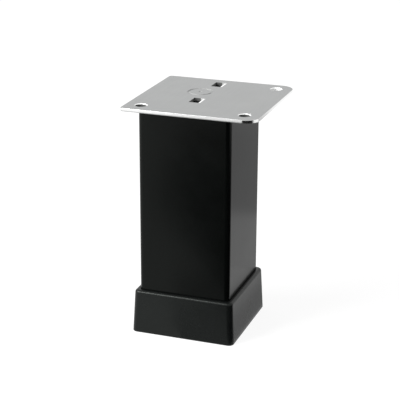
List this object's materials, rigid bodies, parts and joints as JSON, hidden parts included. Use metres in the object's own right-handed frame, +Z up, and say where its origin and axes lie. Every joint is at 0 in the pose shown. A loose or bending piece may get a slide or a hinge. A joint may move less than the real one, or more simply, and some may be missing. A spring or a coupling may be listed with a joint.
{
  "type": "table leg",
  "caption": "Short square steel table leg, black coated, with an offset zinc-plated screw plate on top and a drafted plastic foot that screws out to level the table.",
  "frame": {"origin": "on the tube's axis, at the floor under the foot, with the foot screwed fully in", "axes": "+Z up along the tube to the screw plate, -Y towards the front and +X towards the right, the two sides that the plate reaches out to"},
  "size_m": [0.0867, 0.0867, 0.154],
  "materials": {
    "zinc_plate": "bright zinc plating, satin, with fine rolling lines",
    "black_coat": "black powder coat, satin",
    "foot_plastic": "black moulded plastic, semi-gloss",
    "plug_nylon": "black nylon, dull",
    "bright_steel": "bright zinc plated steel"
  },
  "bodies": {
    "leg": {"mounting_plate": "zinc_plate", "tube_bridge": "black_coat", "leg_tube": "black_coat", "tube_plug": "plug_nylon", "spindle_nut": "bright_steel"},
    "foot": {"foot_sleeve": "foot_plastic"},
    "spindle": {"adjusting_spindle": "bright_steel", "spindle_clip": "bright_steel"}
  },
  "joints": [
    {"name": "foot_slide", "type": "slide", "parent": "leg", "child": "foot", "axis": [0, 0, -1], "range_m": [0, 0.015]},
    {"name": "spindle_turn", "type": "hinge", "parent": "foot", "child": "spindle", "pos_m": [0, 0, 0.005], "axis": [0, 0, -1], "range_deg": [0, 3600]}
  ],
  "couplings": [
    {"joint": "spindle_turn", "follows": "foot_slide", "rad_per_m": 4188.8}
  ]
}
